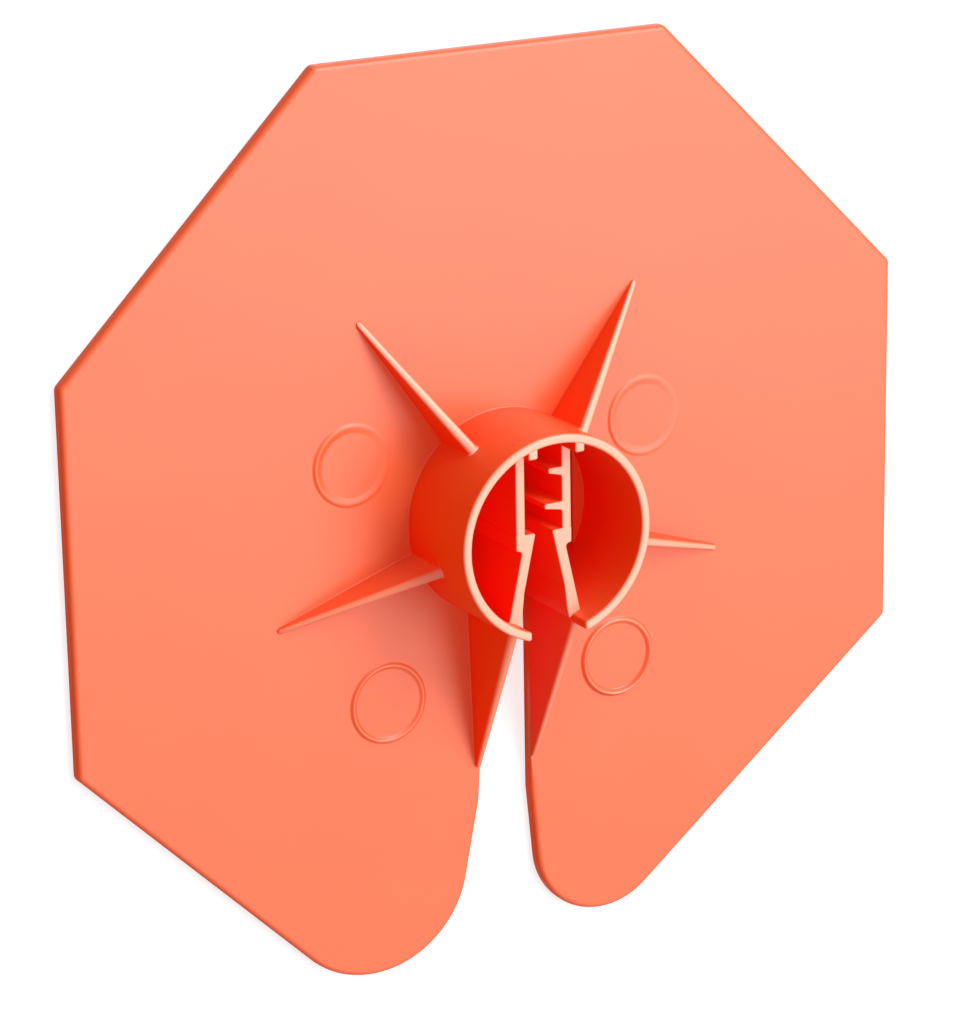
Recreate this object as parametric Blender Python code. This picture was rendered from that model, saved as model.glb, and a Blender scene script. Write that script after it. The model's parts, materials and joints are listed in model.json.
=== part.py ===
"""Octagonal retaining disc with a slot and a split snap hub, moulded in orange plastic.

The disc lies on its back: +Z runs up the hub, the slot opens towards -Y, and the origin is the
middle of the back face. Right and left are +X and -X as seen from the hub side.
"""
import math

import bmesh
import bpy
from mathutils import Vector

MM = 0.001

# Plate
PLATE_ACROSS_FLATS = 100.0 * MM
PLATE_THICKNESS = 1.5 * MM
PLATE_EDGE_ROUND = 0.6 * MM
SLOT_WIDTH = 6.4 * MM
OPENING_FLAT_DEPTH = 1.45 * MM  # the opening under the hub has a flat on each side, this far inside the bore
LEG_END_RADIUS = 11.3 * MM
FLARE_RISE = 6.3 * MM  # from the middle of a leg's round end up to where the slot begins to widen
UPPER_CORNERS = 6  # the octagon's two lowest corners are rounded into the legs' ends

# The right leg is trimmed: its end is smaller and shorter, and its slanted side runs flatter
RIGHT_LEG_END_RADIUS = 8.6 * MM
RIGHT_LEG_SHORTER = 1.5 * MM
RIGHT_LEG_FLATTER = math.radians(6.1)

# Low rings that the ejector pins leave on the plate, given for the right side and mirrored
PIN_RING_DIAMETER = 9.2 * MM
PIN_RING_WIDTH = 0.8 * MM
PIN_RING_HEIGHT = 0.2 * MM
UPPER_RING_X = 17.8 * MM
UPPER_RING_Y = 7.8 * MM
LOWER_RING_X = 14.2 * MM
LOWER_RING_Y = -19.1 * MM

# Hub
HUB_OUTER_DIAMETER = 22.5 * MM
HUB_WALL = 1.0 * MM
HUB_HEIGHT = 12.0 * MM  # above the plate's front face
HUB_GAP_WIDTH = 6.5 * MM

# Gusset ribs
RIB_PITCH = math.radians(72.0)
RIB_THICKNESS = 1.1 * MM
RIB_TOE_WIDTH = 0.6 * MM
RIB_TOE_HEIGHT = 0.2 * MM
RIB_HEIGHT = 6.3 * MM
RIB_LENGTH = 17.15 * MM  # from the hub's wall to the toe
SLOT_RIB_HEIGHT = 9.1 * MM
SLOT_RIB_LENGTH = 17.35 * MM

# Jaws
SEAT_WIDTH = 4.5 * MM
THROAT_WIDTH = 2.0 * MM
LEAF_THICKNESS = 1.1 * MM
LOWER_LEAF_THICKNESS = 1.2 * MM
LATCH_HEIGHT = 1.7 * MM
ROOT_BAR_DEPTH = 0.65 * MM
GAP_END_INSET = 0.35 * MM  # lower leaf's pivot, sideways from the end of the hub wall
JAW_RECESS = 3.0 * MM  # jaws' front edges below the hub rim
JAW_BACK = 0.3 * MM  # jaws' back edges above the plate's back face

# Barbs on the right upper leaf
BARB_ROOT = 0.95 * MM
BARB_TIP = 0.35 * MM
UPPER_BARB_LENGTH = 1.6 * MM
UPPER_BARB_TOP = 6.75 * MM  # top face above the latch ledges
LOWER_BARB_LENGTH = 2.1 * MM
LOWER_BARB_TOP = 2.95 * MM

# Clearances
SEAM = 0.1 * MM  # between features of the one moulding
PIVOT_CLEARANCE = 0.15 * MM  # round a leaf's hinged end
THROAT_CLEARANCE = 0.3 * MM  # between an upper leaf and the latch head below it

# Fineness of round shapes
ARC_STEP = math.radians(6.0)
EDGE_SEGMENTS = 2
SHARP_ANGLE = math.radians(30.0)

# Finish
ORANGE = (0.95, 0.21, 0.09, 1.0)
ROUGHNESS = 0.42

# Directions
RIGHT = 1
LEFT = -1
SIDE_ANGLE = math.radians(45.0)  # one side of the octagon, seen from its middle
UP = math.radians(90.0)
DOWN = math.radians(270.0)

# Sizes that follow from the ones above
APOTHEM = PLATE_ACROSS_FLATS / 2
HUB_RADIUS = HUB_OUTER_DIAMETER / 2
BORE_RADIUS = HUB_RADIUS - HUB_WALL
SLOT_HALF = SLOT_WIDTH / 2
HUB_TOP = PLATE_THICKNESS + HUB_HEIGHT
FLARE_START = APOTHEM - LEG_END_RADIUS - FLARE_RISE
RIB_TOE = HUB_RADIUS + RIB_LENGTH
SLOT_RIB_TOE = HUB_RADIUS + SLOT_RIB_LENGTH
JAW_FRONT = HUB_TOP - JAW_RECESS
LEAF_HALF = LEAF_THICKNESS / 2
LOWER_LEAF_HALF = LOWER_LEAF_THICKNESS / 2
UPPER_LEAF_X = SEAT_WIDTH / 2 + LEAF_HALF
STANDING = PLATE_THICKNESS + SEAM  # where features that stand on the plate begin


def clear_scene():
    for item in list(bpy.data.objects):
        bpy.data.objects.remove(item, do_unlink=True)


def moulded_plastic(name):
    material = bpy.data.materials.new(name)
    material.use_nodes = True
    shader = material.node_tree.nodes["Principled BSDF"]
    shader.inputs["Base Color"].default_value = ORANGE
    shader.inputs["Roughness"].default_value = ROUGHNESS
    shader.inputs["Metallic"].default_value = 0.0
    return material


def add_object(name, shape, parent=None):
    """Turn a bmesh into a named object with its own material."""
    bmesh.ops.recalc_face_normals(shape, faces=shape.faces)
    mesh = bpy.data.meshes.new(name)
    shape.to_mesh(mesh)
    shape.free()
    mesh.shade_smooth()
    mesh.set_sharp_from_angle(angle=SHARP_ANGLE)
    mesh.materials.append(moulded_plastic(name))
    item = bpy.data.objects.new(name, mesh)
    bpy.context.scene.collection.objects.link(item)
    item.parent = parent
    return item


def add_pivot(name, place):
    """An empty on a leaf's hinge axis, which runs along Z."""
    pivot = bpy.data.objects.new(name, None)
    pivot.location = (place.x, place.y, 0.0)
    bpy.context.scene.collection.objects.link(pivot)
    return pivot


def arc(centre, radius, start, end):
    """Points on an arc from one angle to another, both ends included."""
    steps = max(1, math.ceil(abs(end - start) / ARC_STEP))
    angles = [start + (end - start) * step / steps for step in range(steps + 1)]
    return [Vector((centre.x + radius * math.cos(a), centre.y + radius * math.sin(a))) for a in angles]


def prism(outline, bottom, top):
    """A flat outline extruded along Z."""
    shape = bmesh.new()
    corners = [shape.verts.new((point.x, point.y, bottom)) for point in outline]
    face = shape.faces.new(corners)
    raised = bmesh.ops.extrude_face_region(shape, geom=[face])
    lifted = [item for item in raised["geom"] if isinstance(item, bmesh.types.BMVert)]
    bmesh.ops.translate(shape, verts=lifted, vec=(0.0, 0.0, top - bottom))
    return shape


def on_side(outline, side):
    """Mirror an outline that was drawn for the right side."""
    return [Vector((side * point.x, point.y)) for point in outline]


def leg_end_centre(radius, shorter, slant):
    """Middle of a round end that touches the leg's lowest line and its slanted side, on the right side."""
    outwards = Vector((math.cos(slant), math.sin(slant)))
    side_corner = Vector((APOTHEM, -APOTHEM * math.tan(SIDE_ANGLE / 2)))
    y = radius - (APOTHEM - shorter)
    x = (outwards.dot(side_corner) - radius - outwards.y * y) / outwards.x
    return Vector((x, y))


def slot_side(radius, shorter, flatter):
    """One half of the slot, from its neck to the flared mouth and round the leg's end, on the right side."""
    slant = DOWN + SIDE_ANGLE - flatter
    centre = leg_end_centre(radius, shorter, slant)
    corner = Vector((SLOT_HALF, -FLARE_START))
    towards = corner - centre
    touch = math.atan2(towards.y, towards.x) + math.acos(radius / towards.length)
    to_bottom = arc(centre, radius, touch, DOWN)
    to_side = arc(centre, radius, DOWN, slant)
    return [corner] + to_bottom + to_side[1:]


def opening_side():
    """Half of the opening under the hub, from the slot past a flat to the top, on the right side."""
    flat = BORE_RADIUS - OPENING_FLAT_DEPTH
    turn = math.acos(flat / BORE_RADIUS)
    centre = Vector((0.0, 0.0))
    to_flat = arc(centre, BORE_RADIUS, math.asin(SLOT_HALF / BORE_RADIUS) - UP, -turn)
    to_top = arc(centre, BORE_RADIUS, turn, UP)
    return to_flat + to_top


def plate_outline():
    right = slot_side(RIGHT_LEG_END_RADIUS, RIGHT_LEG_SHORTER, RIGHT_LEG_FLATTER)
    radius = APOTHEM / math.cos(SIDE_ANGLE / 2)
    angles = [SIDE_ANGLE * (turn - 0.5) for turn in range(UPPER_CORNERS)]
    upper_corners = [Vector((radius * math.cos(a), radius * math.sin(a))) for a in angles]
    left = on_side(reversed(slot_side(LEG_END_RADIUS, 0.0, 0.0)), LEFT)
    opening = on_side(opening_side()[:-1], LEFT) + list(reversed(opening_side()))
    return right + upper_corners + left + opening


def is_outer_rim(edge):
    """The plate's front edge is rounded all round, but not in the slot's neck or the bore."""
    middle = (edge.verts[0].co + edge.verts[1].co) / 2
    in_front = all(corner.co.z > PLATE_THICKNESS / 2 for corner in edge.verts)
    in_neck = abs(middle.x) < SLOT_HALF + SEAM and middle.y > -FLARE_START
    in_bore = Vector((middle.x, middle.y)).length < HUB_RADIUS
    return in_front and not in_neck and not in_bore


def make_plate():
    shape = prism(plate_outline(), 0.0, PLATE_THICKNESS)
    rim = [edge for edge in shape.edges if is_outer_rim(edge)]
    bmesh.ops.bevel(shape, geom=rim, offset=PLATE_EDGE_ROUND, segments=EDGE_SEGMENTS, profile=0.5, affect="EDGES")
    add_object("disc_plate", shape)


def make_pin_ring(name, x, y):
    """A flat section spun round the pin's axis."""
    outer = PIN_RING_DIAMETER / 2
    inner = outer - PIN_RING_WIDTH
    top = STANDING + PIN_RING_HEIGHT
    section = [(inner, STANDING), (outer, STANDING), (outer, top), (inner, top)]
    shape = bmesh.new()
    corners = [shape.verts.new((x + radius, y, z)) for radius, z in section]
    for number, corner in enumerate(corners):
        shape.edges.new((corner, corners[number - 1]))
    turns = round(math.tau / ARC_STEP)
    bmesh.ops.spin(
        shape, geom=corners + list(shape.edges), cent=(x, y, 0.0), axis=(0.0, 0.0, 1.0),
        angle=math.tau, steps=turns, use_merge=True)
    add_object(name, shape)


def make_hub():
    """A tube with a gap of constant width over the slot."""
    origin = Vector((0.0, 0.0))
    outer_end = math.asin(HUB_GAP_WIDTH / 2 / HUB_RADIUS)
    inner_end = math.asin(HUB_GAP_WIDTH / 2 / BORE_RADIUS)
    start = DOWN - math.tau
    outer = arc(origin, HUB_RADIUS, start + outer_end, DOWN - outer_end)
    inner = arc(origin, BORE_RADIUS, DOWN - inner_end, start + inner_end)
    add_object("hub_collar", prism(outer + inner, STANDING, HUB_TOP))


def gusset(plan, height, toe_point, root_point):
    """A wall on the plate, cut by a slope that falls from the hub to the toe."""
    shape = prism(plan, STANDING, STANDING + height)
    high = Vector((root_point.x, root_point.y, STANDING + height))
    low = Vector((toe_point.x, toe_point.y, STANDING + RIB_TOE_HEIGHT))
    along = (low - high).normalized()
    sideways = along.cross(Vector((0.0, 0.0, 1.0))).normalized()
    geometry = list(shape.verts) + list(shape.edges) + list(shape.faces)
    cut = bmesh.ops.bisect_plane(
        shape, geom=geometry, plane_co=high, plane_no=sideways.cross(along), clear_outer=True)
    rim = [item for item in cut["geom_cut"] if isinstance(item, bmesh.types.BMEdge)]
    bmesh.ops.holes_fill(shape, edges=rim, sides=0)
    return shape


def make_radial_rib(name, angle):
    """One of the ribs that stand out from the hub like spokes."""
    start = HUB_RADIUS + SEAM
    outwards = Vector((math.cos(angle), math.sin(angle)))
    across = Vector((-outwards.y, outwards.x))
    bend = math.asin(RIB_THICKNESS / 2 / start)
    root = arc(Vector((0.0, 0.0)), start, angle + bend, angle - bend)
    toe = outwards * RIB_TOE
    toe_side = across * (RIB_TOE_WIDTH / 2)
    add_object(name, gusset(root + [toe - toe_side, toe + toe_side], RIB_HEIGHT, toe, outwards * start))


def make_slot_rib(name, side):
    """A rib that follows the slot's edge from the hub's gap to its toe."""
    start = HUB_RADIUS + SEAM
    inner = SLOT_HALF
    outer = SLOT_HALF + RIB_THICKNESS
    first = -math.acos(inner / start)
    last = -math.acos(outer / start)
    root = arc(Vector((0.0, 0.0)), start, first, last)
    toe = [Vector((inner + RIB_TOE_WIDTH, -SLOT_RIB_TOE)), Vector((inner, -SLOT_RIB_TOE))]
    toe_point = Vector((side * inner, -SLOT_RIB_TOE))
    root_point = Vector((side * inner, root[0].y))
    add_object(name, gusset(on_side(root + toe, side), SLOT_RIB_HEIGHT, toe_point, root_point))


def root_bar_face():
    """Height of the root bar's face that the upper leaf hangs from."""
    outer = UPPER_LEAF_X + LEAF_HALF
    return math.sqrt((BORE_RADIUS - SEAM)**2 - outer**2) - ROOT_BAR_DEPTH


def make_jaw_root(name, side):
    """An upright bar on the hub's inner wall, as wide as the leaf that it carries."""
    radius = BORE_RADIUS - SEAM
    inner = UPPER_LEAF_X - LEAF_HALF
    outer = UPPER_LEAF_X + LEAF_HALF
    wall = arc(Vector((0.0, 0.0)), radius, math.acos(outer / radius), math.acos(inner / radius))
    face = root_bar_face()
    outline = [Vector((inner, face)), Vector((outer, face))] + wall
    add_object(name, prism(on_side(outline, side), JAW_BACK, HUB_TOP))


def upper_pivot():
    return Vector((UPPER_LEAF_X, root_bar_face() - PIVOT_CLEARANCE - LEAF_HALF))


def lower_pivot():
    reach = BORE_RADIUS - PIVOT_CLEARANCE - LOWER_LEAF_HALF
    x = HUB_GAP_WIDTH / 2 + GAP_END_INSET
    return Vector((x, -math.sqrt(reach**2 - x**2)))


def barb_outline(length, top):
    """A barb with a level top and a sloping underside, drawn from the upper leaf's pivot."""
    level = top - upper_pivot().y
    root_x = -LEAF_HALF - SEAM
    tip_x = -LEAF_HALF - length
    return [Vector((root_x, level - BARB_ROOT)), Vector((root_x, level)),
            Vector((tip_x, level)), Vector((tip_x, level - BARB_TIP))]


def make_upper_leaf(side_name, side):
    """A straight leaf that hangs from its root bar and ends just above the latch head."""
    place = upper_pivot()
    pivot = add_pivot(f"upper_pivot_{side_name}", Vector((side * place.x, place.y)))
    end = THROAT_CLEARANCE - place.y
    outline = [Vector((-LEAF_HALF, end)), Vector((LEAF_HALF, end))]
    outline += arc(Vector((0.0, 0.0)), LEAF_HALF, 0.0, math.pi)
    add_object(f"upper_leaf_{side_name}", prism(on_side(outline, side), JAW_BACK, JAW_FRONT), pivot)
    return pivot


def make_barbs(pivot):
    """The two barbs grip what lies in the seat, and stand on the right upper leaf only."""
    for name, length, top in (("upper", UPPER_BARB_LENGTH, UPPER_BARB_TOP),
                              ("lower", LOWER_BARB_LENGTH, LOWER_BARB_TOP)):
        add_object(f"grip_barb_{name}", prism(barb_outline(length, top), JAW_BACK, JAW_FRONT), pivot)


def make_lower_leaf(side_name, side):
    """A slanted leaf whose inner face runs on through the tip of its latch head."""
    place = lower_pivot()
    tip = Vector((THROAT_WIDTH / 2, 0.0)) - place
    lean = math.atan2(tip.y, tip.x) - math.asin(LOWER_LEAF_HALF / tip.length)
    along = Vector((math.cos(lean), math.sin(lean)))
    inwards = Vector((-along.y, along.x)) * LOWER_LEAF_HALF

    def reach(start, height):
        """Follow the leaf from a point to a height above the pivot."""
        return start + along * ((height - start.y) / along.y)

    pivot = add_pivot(f"lower_pivot_{side_name}", Vector((side * place.x, place.y)))
    ledge = -place.y
    head_bottom = ledge - LATCH_HEIGHT
    leaf_top = head_bottom - SEAM
    leaf = [reach(-inwards, leaf_top), reach(inwards, leaf_top)]
    leaf += arc(Vector((0.0, 0.0)), LOWER_LEAF_HALF, lean + math.pi / 2, lean + math.pi * 3 / 2)
    add_object(f"lower_leaf_{side_name}", prism(on_side(leaf, side), JAW_BACK, JAW_FRONT), pivot)

    head_outer = UPPER_LEAF_X + LEAF_HALF - place.x
    head = [tip, reach(inwards, head_bottom), Vector((head_outer, head_bottom)), Vector((head_outer, ledge))]
    add_object(f"latch_head_{side_name}", prism(on_side(head, side), JAW_BACK, JAW_FRONT), pivot)


def main():
    clear_scene()
    make_plate()
    make_hub()
    make_radial_rib("rib_upper_right", UP - RIB_PITCH / 2)
    make_radial_rib("rib_upper_left", UP + RIB_PITCH / 2)
    make_radial_rib("rib_right", UP - RIB_PITCH * 3 / 2)
    make_radial_rib("rib_left", UP + RIB_PITCH * 3 / 2)
    for side_name, side in (("left", LEFT), ("right", RIGHT)):
        make_pin_ring(f"pin_ring_upper_{side_name}", side * UPPER_RING_X, UPPER_RING_Y)
        make_pin_ring(f"pin_ring_lower_{side_name}", side * LOWER_RING_X, LOWER_RING_Y)
        make_slot_rib(f"slot_rib_{side_name}", side)
        make_jaw_root(f"jaw_root_{side_name}", side)
        pivot = make_upper_leaf(side_name, side)
        if side == RIGHT:
            make_barbs(pivot)
        make_lower_leaf(side_name, side)


main()
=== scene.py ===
# %% [markdown]
# A slotted retaining disc, moulded in one shot of coral plastic: an eight-sided plate, a split hub
# that stands on it, ribs that brace the hub, and two sprung jaws inside it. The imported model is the
# fixed frame. It says where every piece sits and what moves, and this script gives the pieces the
# round edges, fillets and finish of a real moulding. The plate lies on its back, +Z runs up the hub,
# and the slot opens towards -Y.

# %% Load the frame
import json
import math

import bmesh
import bpy
from mathutils import Matrix, Vector


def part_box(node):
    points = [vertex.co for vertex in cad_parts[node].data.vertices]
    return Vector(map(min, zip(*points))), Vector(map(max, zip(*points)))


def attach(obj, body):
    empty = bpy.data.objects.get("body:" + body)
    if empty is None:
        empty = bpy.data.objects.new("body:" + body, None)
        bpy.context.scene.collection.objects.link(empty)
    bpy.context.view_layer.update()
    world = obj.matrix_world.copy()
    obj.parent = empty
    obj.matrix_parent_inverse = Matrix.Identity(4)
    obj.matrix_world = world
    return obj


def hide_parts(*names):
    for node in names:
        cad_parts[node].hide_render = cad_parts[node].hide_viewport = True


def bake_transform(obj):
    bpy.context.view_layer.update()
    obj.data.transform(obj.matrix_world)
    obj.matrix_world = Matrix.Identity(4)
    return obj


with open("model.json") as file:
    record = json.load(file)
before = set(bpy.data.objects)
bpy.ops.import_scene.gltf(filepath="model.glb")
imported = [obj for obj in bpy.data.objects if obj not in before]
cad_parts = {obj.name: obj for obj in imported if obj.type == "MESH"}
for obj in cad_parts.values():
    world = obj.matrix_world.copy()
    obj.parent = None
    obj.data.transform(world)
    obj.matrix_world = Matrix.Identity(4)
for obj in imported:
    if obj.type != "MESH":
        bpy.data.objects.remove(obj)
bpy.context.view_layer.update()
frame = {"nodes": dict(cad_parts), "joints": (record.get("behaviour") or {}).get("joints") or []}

MM = 0.001
print("nodes:", len(frame["nodes"]))

# %% [markdown]
# Sizes come from the frame wherever it holds them, so that a change to the model carries over. A box
# gives the low and the high corner of a node. What a box can't tell, such as the radius of the slot's
# round leg ends, is named in millimetres where it is first used.

# %% Measure the frame
plate_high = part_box("disc_plate")[1]
hub_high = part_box("hub_collar")[1]
APOTHEM = plate_high.x
PLATE_FRONT = plate_high.z
HUB_RADIUS = hub_high.x
HUB_TOP = hub_high.z
HUB_WALL = 1.0 * MM
BORE_RADIUS = HUB_RADIUS - HUB_WALL
RIGHT = 1
LEFT = -1
SIDES = (("left", LEFT), ("right", RIGHT))
SLOT_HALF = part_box("slot_rib_right")[0].x
UP = math.radians(90.0)
LEFTWARDS = math.radians(180.0)
DOWN = math.radians(270.0)
CENTRE = Vector((0.0, 0.0))
print(f"plate {2 * APOTHEM / MM:.1f} mm across flats and {PLATE_FRONT / MM:.1f} mm thick")
print(f"hub {2 * HUB_RADIUS / MM:.1f} mm across, with its rim at {HUB_TOP / MM:.1f} mm")
print(f"slot {2 * SLOT_HALF / MM:.1f} mm wide")

# %% [markdown]
# Every piece here is a skin drawn through rings of points, as a loft is in a drawing office. Rings let
# a moulding's round edges and fillets be placed exactly, which a bevel modifier can't do where thin
# walls meet. Each point also carries a number called crest: 1 along the top of a thin wall, 0 on an open
# face. The finish uses it to paint a highlight along the crests.

# %% Skin through rings
SHARP = math.radians(38.0)
MERGE = 0.002 * MM


def finished_piece(name, mesh):
    """Weld points that fall together, turn the faces outwards and shade the round edges smooth."""
    shape = bmesh.new()
    shape.from_mesh(mesh)
    bmesh.ops.remove_doubles(shape, verts=shape.verts, dist=MERGE)
    bmesh.ops.dissolve_degenerate(shape, edges=shape.edges, dist=MERGE)
    bmesh.ops.recalc_face_normals(shape, faces=shape.faces)
    shape.to_mesh(mesh)
    shape.free()
    mesh.shade_smooth()
    mesh.set_sharp_from_angle(angle=SHARP)
    piece = bpy.data.objects.new(name, mesh)
    bpy.context.scene.collection.objects.link(piece)
    even = piece.modifiers.new("even shading", "WEIGHTED_NORMAL")
    even.keep_sharp = True
    return piece


def skin(name, rings, crests, closed=False):
    """Join rings of points into one closed skin. Rings that don't meet again get a cap at each end."""
    count = len(rings[0])
    total = len(rings)
    faces = []
    for row in range(total if closed else total - 1):
        here = row * count
        there = (row + 1) % total * count
        for column in range(count):
            after = (column + 1) % count
            faces.append((here + column, here + after, there + after, there + column))
    if not closed:
        faces.append(tuple(reversed(range(count))))
        faces.append(tuple(range((total - 1) * count, total * count)))
    mesh = bpy.data.meshes.new(name)
    mesh.from_pydata([point for ring in rings for point in ring], [], faces)
    marks = mesh.attributes.new("crest", "FLOAT", "POINT")
    marks.data.foreach_set("value", [crest for ring in crests for crest in ring])
    return finished_piece(name, mesh)


print(f"edges under {math.degrees(SHARP):.0f} degrees are shaded smooth")

# %% [markdown]
# Most features of a moulding are an outline pulled up out of the mould, so the next helper skins an
# outline through levels. A level says how high it is and how far the outline is pushed outwards there.
# A round edge is then a few levels on a quarter circle, and a fillet is a quarter circle turned about.

# %% Raise an outline through levels
EDGE_STEPS = 5
QUARTER = [math.radians(90.0) * step / EDGE_STEPS for step in range(EDGE_STEPS + 1)]
FILLET_TURNS = [math.radians(turn) for turn in (0, 6, 15, 28, 46, 66, 90)]
SHARPEST_CORNER = 0.5


def outward(outline):
    """The way out of an outline at each point, long enough to keep a shifted side parallel."""
    normals = []
    for number, point in enumerate(outline):
        before = (point - outline[number - 1]).normalized()
        after = (outline[(number + 1) % len(outline)] - point).normalized()
        both = Vector((before.y + after.y, -before.x - after.x)).normalized()
        normals.append(both / max(SHARPEST_CORNER, both.dot(Vector((after.y, -after.x)))))
    return normals


def per_point(value, count):
    """A number for each point of an outline, from one number or from a list of them."""
    return value if isinstance(value, list) else [value] * count


def raised(name, outline, levels):
    """Skin an outline through levels of (height, outward shift, crest)."""
    count = len(outline)
    normals = outward(outline)
    rings = []
    crests = []
    for height, shift, crest in levels:
        shifted = zip(outline, normals, per_point(shift, count), per_point(height, count))
        rings.append([(*(point + normal * far), z) for point, normal, far, z in shifted])
        crests.append(per_point(crest, count))
    return skin(name, rings, crests)


def round_over(top, radius):
    """Levels of a rounded upper edge, which is a crest all over."""
    return [(top - radius * (1 - math.sin(turn)), -radius * (1 - math.cos(turn)), math.sin(turn))
            for turn in QUARTER]


def round_under(bottom, radius):
    """Levels of a rounded lower edge, from below upwards."""
    return [(bottom + radius * (1 - math.cos(turn)), -radius * (1 - math.sin(turn)), 0.0)
            for turn in QUARTER]


print("a round edge has", EDGE_STEPS, "steps")

# %% [markdown]
# The plate is an octagon with a slot from its lowest side to the opening under the hub. The slot widens
# between two leg ends, which are round and touch the sides next to them. The right leg is trimmed a
# little: its end is smaller and shorter, and its slanted side runs flatter. The opening is as wide as the
# hub's bore, with a flat on each side. One outline runs round all of it, because the slot joins the
# opening to the outside. The front edge is a bold bullnose, but not in the neck of the slot,
# where ribs stand flush with the edge: there the radius runs out to nothing.

# %% Plate outline
SIDE_ANGLE = math.radians(45.0)
LEFT_LEG = {"radius": 11.3 * MM, "shorter": 0.0, "flatter": 0.0}
RIGHT_LEG = {"radius": 8.6 * MM, "shorter": 1.5 * MM, "flatter": math.radians(6.1)}
FLARE_START = 32.4 * MM
CORNER_RADIUS = 0.9 * MM
ARC_STEP = math.radians(3.0)
NECK_STEPS = 8
UPPER_CORNERS = 6
OPENING_FLAT = BORE_RADIUS - 1.45 * MM
SLOT_RIB_TOE = -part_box("slot_rib_right")[0].y


def arc(centre, radius, start, end):
    """Points on an arc from one angle to another, both ends included."""
    count = max(1, math.ceil(abs(end - start) / ARC_STEP))
    angles = [start + (end - start) * number / count for number in range(count + 1)]
    return [centre + radius * Vector((math.cos(angle), math.sin(angle))) for angle in angles]


def on_side(outline, side):
    """An outline drawn for the right side, or its mirror image with the same way round."""
    if side == RIGHT:
        return outline
    return [Vector((-point.x, point.y)) for point in reversed(outline)]


def slot_side(radius, shorter, flatter):
    """One edge of the slot, from its ribs to the flare and round the leg's end, on the right side."""
    slant = DOWN + SIDE_ANGLE - flatter
    outwards = Vector((math.cos(slant), math.sin(slant)))
    side_corner = Vector((APOTHEM, -APOTHEM * math.tan(SIDE_ANGLE / 2)))
    end_y = radius - (APOTHEM - shorter)
    end_x = (outwards.dot(side_corner) - radius - outwards.y * end_y) / outwards.x
    centre = Vector((end_x, end_y))
    towards = Vector((SLOT_HALF, -FLARE_START)) - centre
    touch = math.atan2(towards.y, towards.x) + math.acos(radius / towards.length)
    neck_length = FLARE_START - SLOT_RIB_TOE
    neck = [-SLOT_RIB_TOE - neck_length * step / NECK_STEPS for step in range(NECK_STEPS + 1)]
    return [Vector((SLOT_HALF, y)) for y in neck] + arc(centre, radius, touch, slant)


def opening_side():
    """Half of the opening under the hub, from the top past a flat to the slot, on the right side."""
    turn = math.acos(OPENING_FLAT / BORE_RADIUS)
    to_flat = arc(CENTRE, BORE_RADIUS, UP, turn)
    to_slot = arc(CENTRE, BORE_RADIUS, -turn, math.asin(SLOT_HALF / BORE_RADIUS) - UP)
    return to_flat + to_slot


def plate_outline():
    """Right half of the slot, the octagon's other corners, left half of the slot, and the opening."""
    right = slot_side(**RIGHT_LEG)
    left = on_side(slot_side(**LEFT_LEG), LEFT)
    corners = []
    for number in range(UPPER_CORNERS):
        facing = SIDE_ANGLE * (number - 0.5)
        far = (APOTHEM - CORNER_RADIUS) / math.cos(SIDE_ANGLE / 2)
        middle = far * Vector((math.cos(facing), math.sin(facing)))
        corners += arc(middle, CORNER_RADIUS, facing - SIDE_ANGLE / 2, facing + SIDE_ANGLE / 2)
    opening = on_side(opening_side(), LEFT) + opening_side()[1:]
    return right + corners + left + opening


outline = plate_outline()
print("plate outline has", len(outline), "points")

# %% Plate
FRONT_ROUND = 0.6 * MM
BACK_ROUND = 0.2 * MM


def front_round(point):
    """The front edge's radius at a point of the outline."""
    if point.length < HUB_RADIUS:
        return 0.0
    if abs(point.x) < SLOT_HALF + MERGE and point.y > -FLARE_START:
        along = (-point.y - SLOT_RIB_TOE) / (FLARE_START - SLOT_RIB_TOE)
        return FRONT_ROUND * min(1.0, max(0.0, along))
    return FRONT_ROUND


radii = [front_round(point) for point in outline]
levels = round_under(0.0, BACK_ROUND)
for turn in QUARTER:
    heights = [PLATE_FRONT - radius * (1 - math.sin(turn)) for radius in radii]
    shifts = [-radius * (1 - math.cos(turn)) for radius in radii]
    levels.append((heights, shifts, 0.0))
plate = raised("moulded_plate", outline, levels)
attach(plate, "disc")
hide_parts("disc_plate")
print("plate has", len(plate.data.polygons), "faces")

# %% [markdown]
# The hub is a tube with a gap over the slot. Its outer wall runs into the plate with a small fillet, as
# every wall of a moulding does, and its rim is rounded over. The fillet fades out next to the slot ribs,
# which start there. The gap's ends are rounded in plan, so corners of an outline get a radius first.

# %% Hub
HUB_GAP_HALF = 3.25 * MM
HUB_FILLET = 0.2 * MM
HUB_RIM_ROUND = 0.3 * MM
GAP_CORNER = 0.3 * MM
FILLET_FADE = 2.0 * MM
CORNER_STEPS = 6
SUNK = 0.01 * MM


def with_round_corners(corners):
    """An outline from (point, radius) corners, with an arc at every corner that has a radius."""
    outline = []
    for number, (corner, radius) in enumerate(corners):
        if radius == 0:
            outline.append(corner)
            continue
        before = (corners[number - 1][0] - corner).normalized()
        after = (corners[(number + 1) % len(corners)][0] - corner).normalized()
        half = before.angle(after) / 2
        middle = corner + (before + after).normalized() * (radius / math.sin(half))
        first = corner + before * (radius / math.tan(half)) - middle
        last = corner + after * (radius / math.tan(half)) - middle
        start = math.atan2(first.y, first.x)
        turn = (math.atan2(last.y, last.x) - start + math.pi) % math.tau - math.pi
        for step in range(CORNER_STEPS + 1):
            angle = start + turn * step / CORNER_STEPS
            outline.append(middle + radius * Vector((math.cos(angle), math.sin(angle))))
    return outline


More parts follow.
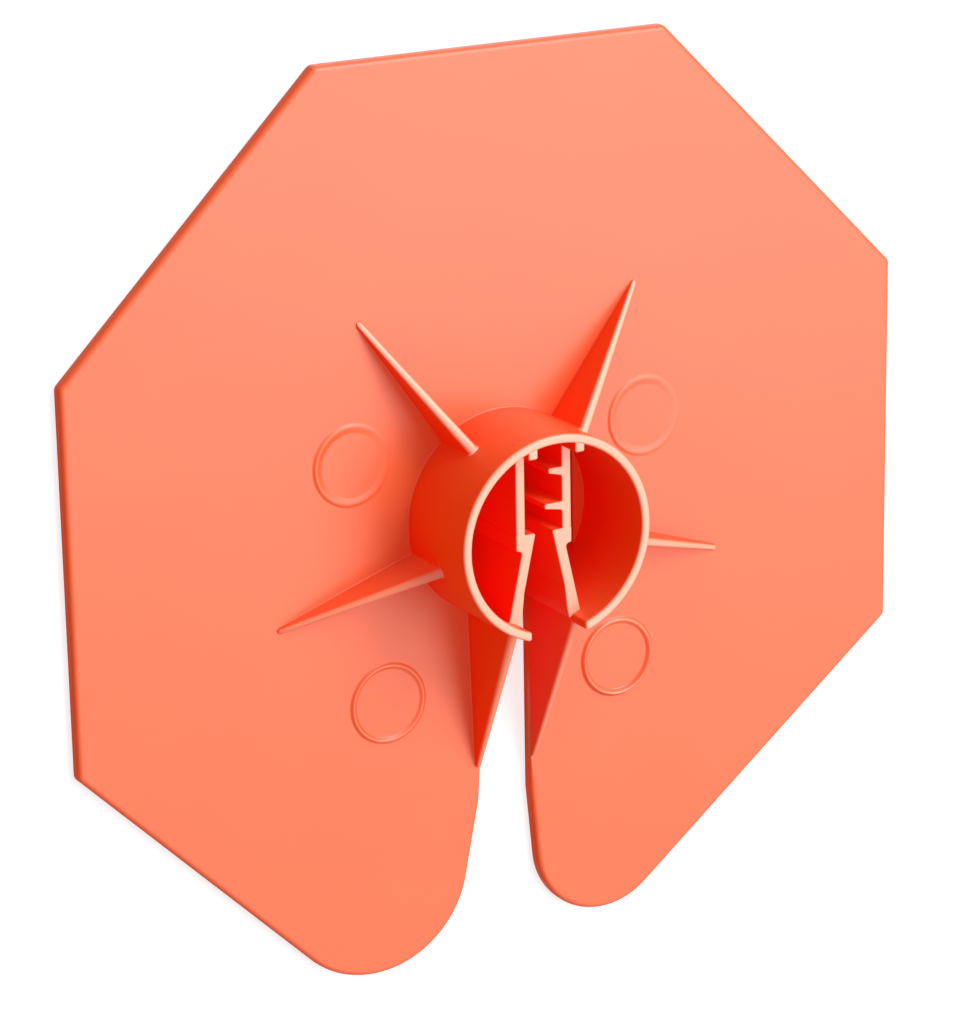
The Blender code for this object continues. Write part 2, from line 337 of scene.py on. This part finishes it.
def split_ring(outer_radius, inner_radius, gap_half, corner_radius):
    """Outline of a ring with a gap of constant width towards -Y."""
    outer_end = math.asin(gap_half / outer_radius)
    inner_end = math.asin(gap_half / inner_radius)
    outer = arc(CENTRE, outer_radius, DOWN - math.tau + outer_end, DOWN - outer_end)
    inner = arc(CENTRE, inner_radius, DOWN - inner_end, DOWN - math.tau + inner_end)
    ends = (0, len(outer) - 1, len(outer), len(outer) + len(inner) - 1)
    corners = []
    for number, point in enumerate(outer + inner):
        corners.append((point, corner_radius if number in ends else 0.0))
    return with_round_corners(corners)


def hub_fillet(point):
    """The fillet's radius at a point of the hub's outline: none inside, none beside the slot ribs."""
    if point.length < HUB_RADIUS - MERGE:
        return 0.0
    if point.y > 0:
        return HUB_FILLET
    return HUB_FILLET * min(1.0, max(0.0, (abs(point.x) - SLOT_HALF) / FILLET_FADE))


outline = split_ring(HUB_RADIUS, BORE_RADIUS, HUB_GAP_HALF, GAP_CORNER)
fillets = [hub_fillet(point) for point in outline]
levels = [(PLATE_FRONT - SUNK, fillets, 0.0)]
for turn in FILLET_TURNS:
    heights = [PLATE_FRONT + fillet * (1 - math.cos(turn)) for fillet in fillets]
    levels.append((heights, [fillet * (1 - math.sin(turn)) for fillet in fillets], 0.0))
hub = raised("moulded_hub", outline, levels + round_over(HUB_TOP, HUB_RIM_ROUND))
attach(hub, "disc")
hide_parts("hub_collar")
print("hub has", len(hub.data.polygons), "faces")

# %% [markdown]
# A gusset rib is a thin wall that falls from the hub to the plate. It is drawn as slices across it: each
# slice rises from a fillet on the plate, has a rounded crest, and grows lower and thinner towards the
# toe. Next to the hub the slices widen again, which gives the fillet between rib and hub. Each rib's
# crest carries a painted highlight, stronger on some ribs than on others.

# %% Rib slices
RIB_FILLET = 0.15 * MM
HUB_CORNER_FILLET = 0.25 * MM
CREST_SHARE = 0.42
CREST_LIMIT = 0.5
FILLET_LIMIT = 0.45
RIB_STEPS = 10
RIB_INTO_HUB = 0.6 * HUB_WALL
NOSE_LENGTH = 0.5 * MM
NOSE_LEAST = 0.12


def rib_slice(low_side, high_side, height, low_fillet, high_fillet):
    """Points of (across, height above the plate, crest), from one foot over the crest to the other."""
    low_fillet = min(low_fillet, FILLET_LIMIT * height)
    high_fillet = min(high_fillet, FILLET_LIMIT * height)
    crest = min(CREST_SHARE * (high_side - low_side), CREST_LIMIT * height)
    rising = [(1 - math.sin(turn), 1 - math.cos(turn)) for turn in FILLET_TURNS]
    rounding = [(1 - math.sin(turn), 1 - math.cos(turn)) for turn in QUARTER]
    points = [(low_side - low_fillet, -SUNK, 0.0)]
    for out, up in rising:
        points.append((low_side - low_fillet * out, low_fillet * up, 0.0))
    for down, inside in rounding:
        points.append((low_side + crest * inside, height - crest * down, 1 - down))
    for down, inside in reversed(rounding):
        points.append((high_side - crest * inside, height - crest * down, 1 - down))
    for out, up in reversed(rising):
        points.append((high_side + high_fillet * out, high_fillet * up, 0.0))
    points.append((high_side + high_fillet, -SUNK, 0.0))
    return points


def widening(distance):
    """How far a rib's side swells at a distance from the hub's wall."""
    if distance >= HUB_CORNER_FILLET:
        return 0.0
    inside = HUB_CORNER_FILLET - max(0.0, distance)
    return HUB_CORNER_FILLET - math.sqrt(HUB_CORNER_FILLET**2 - inside**2)


def rib_stations(length):
    """Distances from the hub's wall at which a rib is sliced: close together at its two ends."""
    near = [-RIB_INTO_HUB] + [HUB_CORNER_FILLET * share for share in (0.0, 0.1, 0.25, 0.5, 0.75, 1.0)]
    straight = length - HUB_CORNER_FILLET
    middle = [HUB_CORNER_FILLET + straight * step / RIB_STEPS for step in range(1, RIB_STEPS)]
    nose = [length - NOSE_LENGTH * share for share in (0.6, 0.3, 0.12, 0.03, 0.0)]
    return near + middle + nose


def nose_share(distance, length):
    """Shrinks the last bit of a rib to a round nose."""
    left = min(1.0, max(0.0, (length - distance) / NOSE_LENGTH))
    return max(NOSE_LEAST, math.sqrt(1 - (1 - left)**2))


print("a rib slice has", len(rib_slice(0.0, MM, 5 * MM, RIB_FILLET, RIB_FILLET)), "points")

# %% Radial ribs
RIB_PITCH = math.radians(72.0)
RIB_ROOT_WIDTH = 1.15 * MM
RIB_TOE_WIDTH = 0.6 * MM
RIB_TOE_HEIGHT = 0.3 * MM
RIB_LENGTH = 17.15 * MM
RIB_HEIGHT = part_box("rib_right")[1].z - PLATE_FRONT
RIBS = {
    "rib_upper_right": {"facing": UP - RIB_PITCH / 2, "crest_highlight_share": 1.0},
    "rib_upper_left": {"facing": UP + RIB_PITCH / 2, "crest_highlight_share": 1.0},
    "rib_right": {"facing": UP - 1.5 * RIB_PITCH, "crest_highlight_share": 0.8},
    "rib_left": {"facing": UP + 1.5 * RIB_PITCH, "crest_highlight_share": 0.3},
}


def radial_rib(name, facing, crest_highlight_share):
    """A rib that stands out from the hub like a spoke. Crest highlight share says how strong the painted
    highlight on its crest is.
    """
    along = Vector((math.cos(facing), math.sin(facing)))
    across = Vector((-along.y, along.x))
    rings = []
    crests = []
    for distance in rib_stations(RIB_LENGTH):
        share = max(0.0, distance) / RIB_LENGTH
        nose = nose_share(distance, RIB_LENGTH)
        width = RIB_ROOT_WIDTH + (RIB_TOE_WIDTH - RIB_ROOT_WIDTH) * share
        half = width / 2 * nose + widening(distance)
        height = (RIB_HEIGHT + (RIB_TOE_HEIGHT - RIB_HEIGHT) * share) * nose
        spot = along * (HUB_RADIUS + distance)
        points = rib_slice(-half, half, height, RIB_FILLET, RIB_FILLET)
        rings.append([(*(spot + across * side), PLATE_FRONT + z) for side, z, crest in points])
        crests.append([crest_highlight_share * crest for side, z, crest in points])
    return skin("moulded_" + name, rings, crests)


ribs = {name: radial_rib(name, **rib) for name, rib in RIBS.items()}
for name, rib in ribs.items():
    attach(rib, "disc")
    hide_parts(name)
print(f"{len(ribs)} radial ribs, {RIB_HEIGHT / MM:.1f} mm high at the hub")

# %% [markdown]
# Along each edge of the slot a taller rib takes the place of a fifth spoke. Its inner side is flush with
# the slot, so a wire slides past without catching. Only its outer side gets the fillets.

# %% Slot ribs
SLOT_RIB_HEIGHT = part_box("slot_rib_right")[1].z - PLATE_FRONT
# How strong the painted highlight on a slot rib's crest is.
SLOT_RIB_CREST_HIGHLIGHT = 0.4


def slot_rib(name, side):
    """A rib that follows the slot's edge from the hub's gap to its toe."""
    length = SLOT_RIB_TOE - math.sqrt(HUB_RADIUS**2 - SLOT_HALF**2)
    rings = []
    crests = []
    for distance in rib_stations(length):
        share = max(0.0, distance) / length
        nose = nose_share(distance, length)
        taper = RIB_ROOT_WIDTH + (RIB_TOE_WIDTH - RIB_ROOT_WIDTH) * share
        width = taper * nose + widening(distance)
        height = (SLOT_RIB_HEIGHT + (RIB_TOE_HEIGHT - SLOT_RIB_HEIGHT) * share) * nose
        points = rib_slice(SLOT_HALF, SLOT_HALF + width, height, 0.0, RIB_FILLET)
        slice_points = []
        for x, z, crest in points:
            root = math.sqrt(HUB_RADIUS**2 - x**2)
            y = -root - (SLOT_RIB_TOE - root) * distance / length
            slice_points.append((side * x, y, PLATE_FRONT + z))
        rings.append(slice_points)
        crests.append([SLOT_RIB_CREST_HIGHLIGHT * crest for x, z, crest in points])
    return skin("moulded_" + name, rings, crests)


slot_ribs = {}
for side_name, side in SIDES:
    name = f"slot_rib_{side_name}"
    slot_ribs[name] = slot_rib(name, side)
    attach(slot_ribs[name], "disc")
    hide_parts(name)
print(f"{len(slot_ribs)} slot ribs, {SLOT_RIB_HEIGHT / MM:.1f} mm high at the hub")

# %% [markdown]
# Where the mould's ejector pins push the part out, each leaves a low ring on the plate. A ring is a ridge
# swept round a circle, steep outside and falling gently inside. No two pins sit alike, so some rings
# stand higher than others, and each is higher on one side. Lean says how much of the height the other
# side loses.

# %% Pin rings
OUTER_FLANK = 0.4 * MM
RING_STEPS = 72
# Pale is how strong the painted highlight along a ring's top is.
PINS = {
    "upper_left": {"ridge": 0.22 * MM, "inner": 0.8 * MM, "lean": 0.9, "high": LEFTWARDS, "pale": 0.0},
    "upper_right": {"ridge": 0.16 * MM, "inner": 0.8 * MM, "lean": 0.9, "high": LEFTWARDS, "pale": 0.2},
    "lower_left": {"ridge": 0.28 * MM, "inner": 0.45 * MM, "lean": 0.3, "high": LEFTWARDS, "pale": 0.2},
    "lower_right": {"ridge": 0.45 * MM, "inner": 0.5 * MM, "lean": 0.4, "high": DOWN, "pale": 0.9},
}


def pin_ring(name, ridge, inner, lean, high, pale):
    """A ridge round the middle of its node's box, highest towards one side."""
    low_corner, high_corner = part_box(name)
    middle = (low_corner + high_corner) / 2
    outer = high_corner.x - middle.x
    rings = []
    crests = []
    for step in range(RING_STEPS):
        angle = math.tau * step / RING_STEPS
        height = ridge * (1 - lean * (1 - math.cos(angle - high)) / 2)
        section = [(outer - OUTER_FLANK - inner, -SUNK), (outer, -SUNK)]
        crest = [0.0, 0.0]
        for turn in range(1, 2 * EDGE_STEPS):
            share = turn / EDGE_STEPS
            rise = math.sin(share * math.pi / 2)**2
            inwards = OUTER_FLANK * min(1.0, share) + inner * max(0.0, share - 1)
            section.append((outer - inwards, height * rise))
            crest.append(pale * rise**2)
        cosine = math.cos(angle)
        sine = math.sin(angle)
        rings.append([(middle.x + far * cosine, middle.y + far * sine, PLATE_FRONT + z)
                      for far, z in section])
        crests.append(crest)
    return skin("moulded_" + name, rings, crests, closed=True)


pin_rings = {f"pin_ring_{place}": pin_ring(f"pin_ring_{place}", **pin) for place, pin in PINS.items()}
for name, ring in pin_rings.items():
    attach(ring, "disc")
    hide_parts(name)
print(len(pin_rings), "pin rings")

# %% [markdown]
# Two upright bars on the hub's inner wall carry the jaws. Each is an outline that reaches into the wall,
# so that bar and wall look like the one piece that they are.

# %% Jaw roots
ROOT_ROUND = 0.22 * MM
ROOT_CORNER = 0.25 * MM
INTO_WALL = 0.5 * MM
BELOW_RIM = 0.12 * MM


def jaw_root(name, side):
    """A bar as wide as the leaf that hangs from it."""
    low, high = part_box("jaw_root_right")
    wall = [Vector((x, math.sqrt((BORE_RADIUS + INTO_WALL)**2 - x**2))) for x in (high.x, low.x)]
    face = [Vector((low.x, low.y)), Vector((high.x, low.y))]
    corners = [(face[0], ROOT_CORNER), (face[1], ROOT_CORNER), (wall[0], 0.0), (wall[1], 0.0)]
    outline = with_round_corners(corners)
    levels = round_under(low.z, ROOT_ROUND) + round_over(high.z - BELOW_RIM, ROOT_ROUND)
    return raised("moulded_" + name, on_side(outline, side), levels)


jaw_roots = {}
for side_name, side in SIDES:
    name = f"jaw_root_{side_name}"
    jaw_roots[name] = jaw_root(name, side)
    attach(jaw_roots[name], "disc")
    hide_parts(name)
print(len(jaw_roots), "jaw roots")

# %% [markdown]
# The jaws spring. Each is a kinked leaf, and the frame turns its upper and lower half on two hinges that
# stand in for the bending. On the real part nothing hinges: the leaf is one with the wall and bends near
# its root. So each half is drawn into the wall. Long straight sides are cut into short steps.

# %% Upper jaws
LEAF_ROUND = 0.14 * MM
BEND_STEP = 0.4 * MM
INTO_ROOT = 0.4 * MM
TONGUE = 0.45 * MM
TONGUE_INSET = 0.03 * MM
BARB_TIP = 0.55 * MM
BARB_CORNER = 0.22 * MM
BARB_FILLET = 0.3 * MM
leaf_low, leaf_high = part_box("upper_leaf_right")
head_low, head_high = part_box("latch_head_right")
root_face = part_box("jaw_root_right")[0].y
pivots = {joint["child"]: Vector(joint["pos_m"]) for joint in frame["joints"]}


def cut_short(outline):
    """The same outline with its long sides cut into short steps."""
    points = []
    for number, point in enumerate(outline):
        after = outline[(number + 1) % len(outline)]
        steps = max(1, math.ceil((after - point).length / BEND_STEP))
        points += [point.lerp(after, step / steps) for step in range(steps)]
    return points


def barb(name):
    """Corners of a barb on the leaf's inner side, from above: level on top, sloping below."""
    low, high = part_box(name)
    return [(Vector((leaf_low.x, high.y)), BARB_FILLET / 2),
            (Vector((low.x, high.y)), BARB_CORNER),
            (Vector((low.x, high.y - BARB_TIP)), BARB_CORNER),
            (Vector((leaf_low.x, low.y)), BARB_FILLET)]


def upper_jaw(side_name, side):
    """A straight leaf from its root bar down into the latch head. The right one carries the barbs."""
    outer = leaf_high.x - TONGUE_INSET
    top = root_face + INTO_ROOT
    bottom = head_high.y - TONGUE
    corners = [(Vector((leaf_low.x, bottom)), 0.0), (Vector((outer, bottom)), 0.0),
               (Vector((outer, top)), 0.0), (Vector((leaf_low.x, top)), 0.0)]
    if side == RIGHT:
        corners += barb("grip_barb_upper") + barb("grip_barb_lower")
    outline = on_side(cut_short(with_round_corners(corners)), side)
    levels = round_under(leaf_low.z + TONGUE_INSET, LEAF_ROUND)
    levels += round_over(leaf_high.z - TONGUE_INSET, LEAF_ROUND)
    piece = raised(f"sprung_upper_jaw_{side_name}", outline, levels)
    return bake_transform(piece)


upper_jaws = {side_name: upper_jaw(side_name, side) for side_name, side in SIDES}
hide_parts("upper_leaf_left")
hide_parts("upper_leaf_right", "grip_barb_upper", "grip_barb_lower")
print("upper jaws:", ", ".join(jaw.name for jaw in upper_jaws.values()))

# %% [markdown]
# The lower half slants in from the end of the hub's wall and ends in a thick head. The head's flat top is
# the ledge that keeps a wire in the seat. Leaf and head are one outline, with a fillet in the armpit. The
# leaf swells a little towards its foot, which keeps it from cracking where it meets the wall.

# %% Lower jaws
LOWER_LEAF_HALF = 0.6 * MM
FOOT = 1.1 * MM
SWELL = 0.3 * MM
SWELL_LENGTH = 2.6 * MM
HEAD_CORNER = 0.2 * MM
ARMPIT = 0.4 * MM


def lower_jaw(side_name, side):
    """A slanted leaf whose inner side runs straight on to the tip of its head."""
    place = pivots["right_lower_jaw"].to_2d()
    tip = Vector((head_low.x, head_high.y))
    towards = tip - place
    lean = math.atan2(towards.y, towards.x) - math.asin(LOWER_LEAF_HALF / towards.length)
    along = Vector((math.cos(lean), math.sin(lean)))
    inwards = Vector((-along.y, along.x)) * LOWER_LEAF_HALF
    foot = place - along * FOOT
    armpit = place - inwards + along * ((head_low.y - (place - inwards).y) / along.y)
    swell = inwards.normalized() * SWELL
    swell_start = place + along * SWELL_LENGTH + inwards
    corners = [(tip, HEAD_CORNER), (swell_start, SWELL_LENGTH), (place + inwards + swell, 0.0),
               (foot + inwards + swell, 0.0), (foot - inwards, 0.0), (armpit, ARMPIT),
               (Vector((head_high.x, head_low.y)), HEAD_CORNER),
               (Vector((head_high.x, head_high.y)), 0.0)]
    outline = on_side(cut_short(with_round_corners(corners)), side)
    levels = round_under(leaf_low.z, LEAF_ROUND) + round_over(leaf_high.z, LEAF_ROUND)
    piece = raised(f"sprung_lower_jaw_{side_name}", outline, levels)
    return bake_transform(piece)


lower_jaws = {side_name: lower_jaw(side_name, side) for side_name, side in SIDES}
for side_name, jaw in lower_jaws.items():
    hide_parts(f"lower_leaf_{side_name}", f"latch_head_{side_name}")
print("lower jaws:", ", ".join(jaw.name for jaw in lower_jaws.values()))

# %% [markdown]
# Shader nodes are easier to read as sums. The small class below wraps a node's output, so that
# 1 - mask adds the Math node that it means. Every other node comes from one method, which sets the
# node's settings first and then its sockets, because settings decide which sockets a node has.

# %% Shader sums
class Wire:
    """A node's output that can be used in a sum."""

    def __init__(self, tree, socket):
        self.tree = tree
        self.socket = socket

    def sum(self, operation, first, second):
        return add_node(self.tree, "ShaderNodeMath", {"operation": operation}, {0: first, 1: second})

    def __add__(self, other):
        return self.sum("ADD", self, other)

    def __radd__(self, other):
        return self.sum("ADD", other, self)

    def __sub__(self, other):
        return self.sum("SUBTRACT", self, other)

    def __rsub__(self, other):
        return self.sum("SUBTRACT", other, self)

    def __mul__(self, other):
        return self.sum("MULTIPLY", self, other)

    def __rmul__(self, other):
        return self.sum("MULTIPLY", other, self)

    def out(self, name):
        """Another output of the same node."""
        return Wire(self.tree, self.socket.node.outputs[name])


def add_node(tree, kind, settings=None, sockets=None):
    """Add a node, set its settings, then fill or link its sockets. Gives its first output in use."""
    node = tree.nodes.new(kind)
    for name, value in (settings or {}).items():
        setattr(node, name, value)
    for name, value in (sockets or {}).items():
        in_use = [socket for socket in node.inputs if socket.enabled]
        by_number = isinstance(name, int)
        socket = in_use[name] if by_number else next(one for one in in_use if one.name == name)
        if isinstance(value, Wire):
            tree.links.new(value.socket, socket)
        else:
            socket.default_value = value
    outputs = [socket for socket in node.outputs if socket.enabled]
    return Wire(tree, outputs[0]) if outputs else None


print("shader sums ready")

# %% [markdown]
# The plastic is orange polypropylene, coloured through. The mould gives its faces two looks. Faces that
# lie across the mould's opening, such as the plate, are finely grained: they scatter white light off
# their skin through a hazy coat, and their colour is the coral melt. Walls that slide out of the mould
# get no coat, and their colour is painted a deeper orange as painted shade. So coat and painted shade
# follow how far a face looks up or down. Faces that look towards the plate's top edge are painted paler
# and get the coat too, as painted light from that side. Between walls the colour is painted a deeper red
# where other faces are near, as painted shade, and a painted red glow there stands in for light that
# seeps through the thin walls. Crests get a painted highlight. Soft clouds in the melt and a fine grain
# keep every face from being even.

# %% Orange plastic
ORANGE = (0.95, 0.148, 0.04, 1.0)
CLOUDED_ORANGE = (0.95, 0.126, 0.029, 1.0)
# Painted shade: the deeper orange of faces that look sideways.
PAINTED_SHADE_ORANGE = (0.97, 0.072, 0.005, 1.0)
# Painted shade for corners, and a painted red glow there that stands in for light.
PAINTED_SHADE_RED = (1.0, 0.03, 0.001, 1.0)
PAINTED_CORNER_GLOW = (0.085, 0.0, 0.0, 1.0)
NO_GLOW = (0.0, 0.0, 0.0, 1.0)
# Colour of the painted highlight on crests.
PAINTED_HIGHLIGHT_ORANGE = (1.0, 0.6, 0.42, 1.0)
# How far the painted corner shade reaches.
PAINTED_SHADE_REACH = 9.0 * MM
# Painted light: how much paler, and more coated, faces towards +Y are made.
PAINTED_TOPSIDE_LIGHT = 0.85
CLOUDS = {"Scale": 0.06 / MM, "Detail": 3.0}
GRAIN = {"Scale": 2.6 / MM, "Detail": 4.0}
CLOUD_SHARE = 0.7
GRAIN_SHARE = 0.15
GRAIN_HEIGHT = 0.03 * MM
UNEVEN = 0.12
COAT = {"Coat Roughness": 0.42, "Coat IOR": 1.7}
FINISHES = {
    "satin_orange_plate": {"roughness": 0.40, "gloss": 0.12, "grain": 0.25,
                           "painted_crest_highlight": 0.3, "painted_corner_shade": 0.0},
    "satin_orange_walls": {"roughness": 0.36, "gloss": 0.04, "grain": 0.15,
                           "painted_crest_highlight": 0.75, "painted_corner_shade": 1.4},
    "satin_orange_jaws": {"roughness": 0.36, "gloss": 0.04, "grain": 0.12,
                          "painted_crest_highlight": 0.7, "painted_corner_shade": 1.4},
}


def blend_colours(tree, factor, first, second):
    """One colour where the factor is 0, another where it is 1."""
    sockets = {"Factor": factor, "A": first, "B": second}
    return add_node(tree, "ShaderNodeMix", {"data_type": "RGBA"}, sockets)


def orange_plastic(name, roughness, gloss, grain, painted_crest_highlight, painted_corner_shade):
    """Satin plastic. Gloss is the shine of its bare skin and grain the strength of its bumps. Painted
    crest highlight says how pale its crests are painted, and painted corner shade how red its corners are
    painted."""
    material = bpy.data.materials.new(name)
    material.use_nodes = True
    tree = material.node_tree
    tree.nodes.clear()
    spot = add_node(tree, "ShaderNodeTexCoord").out("Object")
    clouds = add_node(tree, "ShaderNodeTexNoise", {}, {"Vector": spot, **CLOUDS})
    fine = add_node(tree, "ShaderNodeTexNoise", {}, {"Vector": spot, **GRAIN})
    way = add_node(tree, "ShaderNodeNewGeometry").out("Normal")
    parts = add_node(tree, "ShaderNodeSeparateXYZ", {}, {"Vector": way})
    upwards = parts.out("Z")
    topwards = add_node(tree, "ShaderNodeClamp", {}, {"Value": parts.out("Y")})
    # Painted light: faces that look towards +Y are painted paler and get more coat.
    painted_topside_light_and_coat = PAINTED_TOPSIDE_LIGHT * topwards
    painted_light_and_coat = add_node(tree, "ShaderNodeClamp", {}, {"Value": upwards * upwards + painted_topside_light_and_coat * topwards})
    melt = blend_colours(tree, clouds * CLOUD_SHARE + fine * GRAIN_SHARE, ORANGE, CLOUDED_ORANGE)
    # Painted shade: faces that look sideways get the deeper orange, faces that look up, down or towards
    # +Y the coral melt.
    colour = blend_colours(tree, painted_light_and_coat, PAINTED_SHADE_ORANGE, melt)
    glow = NO_GLOW
    # Painted shade: the nearer other faces are, the deeper red the colour is painted, and a painted red
    # glow stands in for light through the walls.
    if painted_corner_shade > 0:
        reach = {"Distance": PAINTED_SHADE_REACH}
        nearness = add_node(tree, "ShaderNodeAmbientOcclusion", {"samples": 16}, reach)
        depth = (1 - nearness.out("AO")) * painted_corner_shade * (1 - painted_topside_light_and_coat)
        corner = add_node(tree, "ShaderNodeClamp", {}, {"Value": depth})
        colour = blend_colours(tree, corner, colour, PAINTED_SHADE_RED)
        glow = blend_colours(tree, corner, NO_GLOW, PAINTED_CORNER_GLOW)
    # Painted highlight: crests are painted pale.
    crest = add_node(tree, "ShaderNodeAttribute", {"attribute_name": "crest"}).out("Fac")
    colour = blend_colours(tree, crest * painted_crest_highlight, colour, PAINTED_HIGHLIGHT_ORANGE)
    haze = painted_light_and_coat * painted_light_and_coat
    relief = {"Strength": grain, "Distance": GRAIN_HEIGHT, "Height": fine}
    bump = add_node(tree, "ShaderNodeBump", {}, relief)
    shader = add_node(tree, "ShaderNodeBsdfPrincipled", {}, {
        "Base Color": colour, "Roughness": roughness + UNEVEN * fine, "Specular IOR Level": gloss,
        "Coat Weight": haze, **COAT, "Normal": bump, "Emission Color": glow, "Emission Strength": 1.0})
    add_node(tree, "ShaderNodeOutputMaterial", {}, {"Surface": shader})
    return material


dressed = {"satin_orange_plate": [plate, *pin_rings.values()],
           "satin_orange_walls": [hub, *ribs.values(), *slot_ribs.values(), *jaw_roots.values()],
           "satin_orange_jaws": [*upper_jaws.values(), *lower_jaws.values()]}
for name, pieces in dressed.items():
    finish = orange_plastic(name, **FINISHES[name])
    for piece in pieces:
        piece.data.materials.append(finish)
print("finishes:", ", ".join(f"{name} on {len(pieces)}" for name, pieces in dressed.items()))

# %% [markdown]
# The floor is a plain white sheet. A white floor under plain light photographs as pale grey, so the
# part of it that the camera sees gets a little light of its own. The disc's shadow stays on it. Under
# the hub and a little way round it the floor gets none of that light, which paints a shadow there.

# %% Floor
FLOOR_HALF = 1.5
FLOOR_DROP = 0.05 * MM
FLOOR_WHITE = (0.45, 0.45, 0.45, 1.0)
FLOOR_LIFT = 0.7
# Painted shadow under the hub: full out to the core radius, fading out by the edge radius.
PAINTED_SHADOW_CORE = 11.0 * MM
PAINTED_SHADOW_EDGE = 15.5 * MM


def seen_directly(tree):
    """1 for the camera and for mirror images, 0 for the light that falls on things."""
    path = add_node(tree, "ShaderNodeLightPath")
    either = path.out("Is Camera Ray") + path.out("Is Glossy Ray") + path.out("Is Transmission Ray")
    return add_node(tree, "ShaderNodeClamp", {}, {"Value": either})


floor_mesh = bpy.data.meshes.new("white_floor")
ends = (-FLOOR_HALF, FLOOR_HALF)
floor_corners = [(ends[x], ends[y], -FLOOR_DROP) for x, y in ((0, 0), (1, 0), (1, 1), (0, 1))]
floor_mesh.from_pydata(floor_corners, [], [(0, 1, 2, 3)])
floor = bpy.data.objects.new("white_floor", floor_mesh)
bpy.context.scene.collection.objects.link(floor)
floor_finish = bpy.data.materials.new("white_floor")
floor_finish.use_nodes = True
tree = floor_finish.node_tree
tree.nodes.clear()
sheet = add_node(tree, "ShaderNodeBsdfDiffuse", {}, {"Color": FLOOR_WHITE})
spot = add_node(tree, "ShaderNodeTexCoord").out("Object")
far = add_node(tree, "ShaderNodeVectorMath", {"operation": "LENGTH"}, {"Vector": spot}).out("Value")
# Painted shadow: 0 under the hub, rising to 1 beyond it.
outside = add_node(tree, "ShaderNodeMapRange", {"interpolation_type": "SMOOTHSTEP"},
                   {"Value": far, "From Min": PAINTED_SHADOW_CORE, "From Max": PAINTED_SHADOW_EDGE})
lift = add_node(tree, "ShaderNodeEmission", {}, {"Strength": FLOOR_LIFT})
lifted = add_node(tree, "ShaderNodeAddShader", {}, {0: sheet, 1: lift})
seen = add_node(tree, "ShaderNodeMixShader", {}, {0: seen_directly(tree) * outside, 1: sheet, 2: lifted})
add_node(tree, "ShaderNodeOutputMaterial", {}, {"Surface": seen})
floor.data.materials.append(floor_finish)
print(f"floor {2 * FLOOR_HALF:.0f} m square")

# %% [markdown]
# A big soft light stands to the upper right of the disc, so the hub and the ribs shade to the left. A
# second one stands about where the plate would mirror it towards the camera. It gives the hazy faces
# their pale sheen, which the hub hides on its left side. The world fills in the rest, and is plain white
# where the camera sees it. The levels add up to about one, at which a colour looks as it is written.

# %% Light
SKY_WHITE = (1.0, 1.0, 1.0, 1.0)
WORLD_LEVEL = 0.52
LAMPS = {
    "key_softbox": {"towards": Vector((0.42, 0.64, 0.75)), "far": 0.9, "wide": 0.4, "watts": 4.2},
    "sheen_softbox": {"towards": Vector((0.45, 0.05, 0.86)), "far": 0.9, "wide": 0.5, "watts": 3.0},
}

world = bpy.data.worlds.new("white_studio")
world.use_nodes = True
bpy.context.scene.world = world
tree = world.node_tree
tree.nodes.clear()
fill = add_node(tree, "ShaderNodeBackground", {}, {"Color": SKY_WHITE, "Strength": WORLD_LEVEL})
backdrop = add_node(tree, "ShaderNodeBackground", {}, {"Color": SKY_WHITE, "Strength": 1.0})
sky = add_node(tree, "ShaderNodeMixShader", {}, {0: seen_directly(tree), 1: fill, 2: backdrop})
add_node(tree, "ShaderNodeOutputWorld", {}, {"Surface": sky})
for name, lamp in LAMPS.items():
    light = bpy.data.lights.new(name, "AREA")
    light.size = lamp["wide"]
    light.energy = lamp["watts"]
    holder = bpy.data.objects.new(name, light)
    bpy.context.scene.collection.objects.link(holder)
    holder.location = lamp["towards"].normalized() * lamp["far"]
    holder.rotation_euler = lamp["towards"].to_track_quat("Z", "Y").to_euler()
print("lamps:", ", ".join(f"{name} {lamp['watts']} W" for name, lamp in LAMPS.items()))

# %% [markdown]
# The camera starts straight above the disc with the slot at the bottom. It is then swung to the left,
# tipped a little towards the top and rolled a trace. A long lens from about 41 cm keeps opposite sides
# of the octagon nearly parallel.

# %% Camera
PHOTO_HIGH = 1024
SENSOR = 36.0
FOCAL_PIXELS = 3864
SWING = math.radians(-29.10)
TIP = math.radians(-17.26)
ROLL = math.radians(-1.0)
AIM = Vector((-2.26 * MM, 0.18 * MM, PLATE_FRONT))
STAND_OFF = 410.5 * MM

lens = bpy.data.cameras.new("studio_camera")
lens.sensor_width = SENSOR
lens.lens = FOCAL_PIXELS * SENSOR / PHOTO_HIGH
camera = bpy.data.objects.new("studio_camera", lens)
bpy.context.scene.collection.objects.link(camera)
turned = Matrix.Rotation(SWING, 4, "Y") @ Matrix.Rotation(TIP, 4, "X") @ Matrix.Rotation(ROLL, 4, "Z")
camera.matrix_world = Matrix.Translation(AIM) @ turned @ Matrix.Translation((0.0, 0.0, STAND_OFF))
bpy.context.scene.camera = camera
bpy.context.scene.view_settings.view_transform = "Standard"
print(f"lens {lens.lens:.1f} mm")
